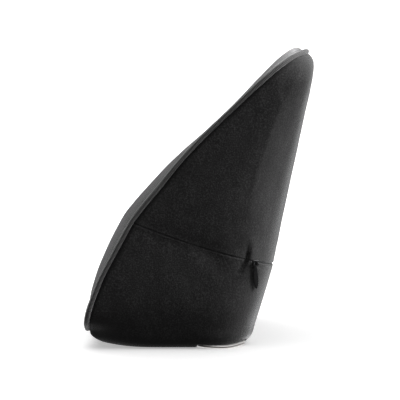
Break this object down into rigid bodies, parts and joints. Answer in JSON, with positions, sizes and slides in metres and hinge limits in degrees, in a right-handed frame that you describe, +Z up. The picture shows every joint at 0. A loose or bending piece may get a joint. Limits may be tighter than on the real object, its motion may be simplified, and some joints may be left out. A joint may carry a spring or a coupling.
{
  "type": "lumbar support pillow",
  "caption": "Wedge-shaped lumbar support pillow with a curved front, a straight leaning back, a welt round the front panel and a concealed zip round the back.",
  "frame": {"origin": "centre of the flat bottom, on the plane of symmetry", "axes": "+X towards the chair's backrest, -X towards the sitter, +Y across the pillow, +Z up; the zip slider is on the -Y side"},
  "size_m": [0.2252, 0.3444, 0.2985],
  "materials": {
    "velour": "black short-pile velour",
    "welt_velour": "black velour over a cord",
    "zip_metal": "black lacquer, satin",
    "label_satin": "white woven satin, blank"
  },
  "bodies": {
    "root": {"cushion": "velour", "welt": "welt_velour", "zip_slider": "zip_metal", "zip_puller": "zip_metal", "care_label": "label_satin"}
  },
  "joints": []
}
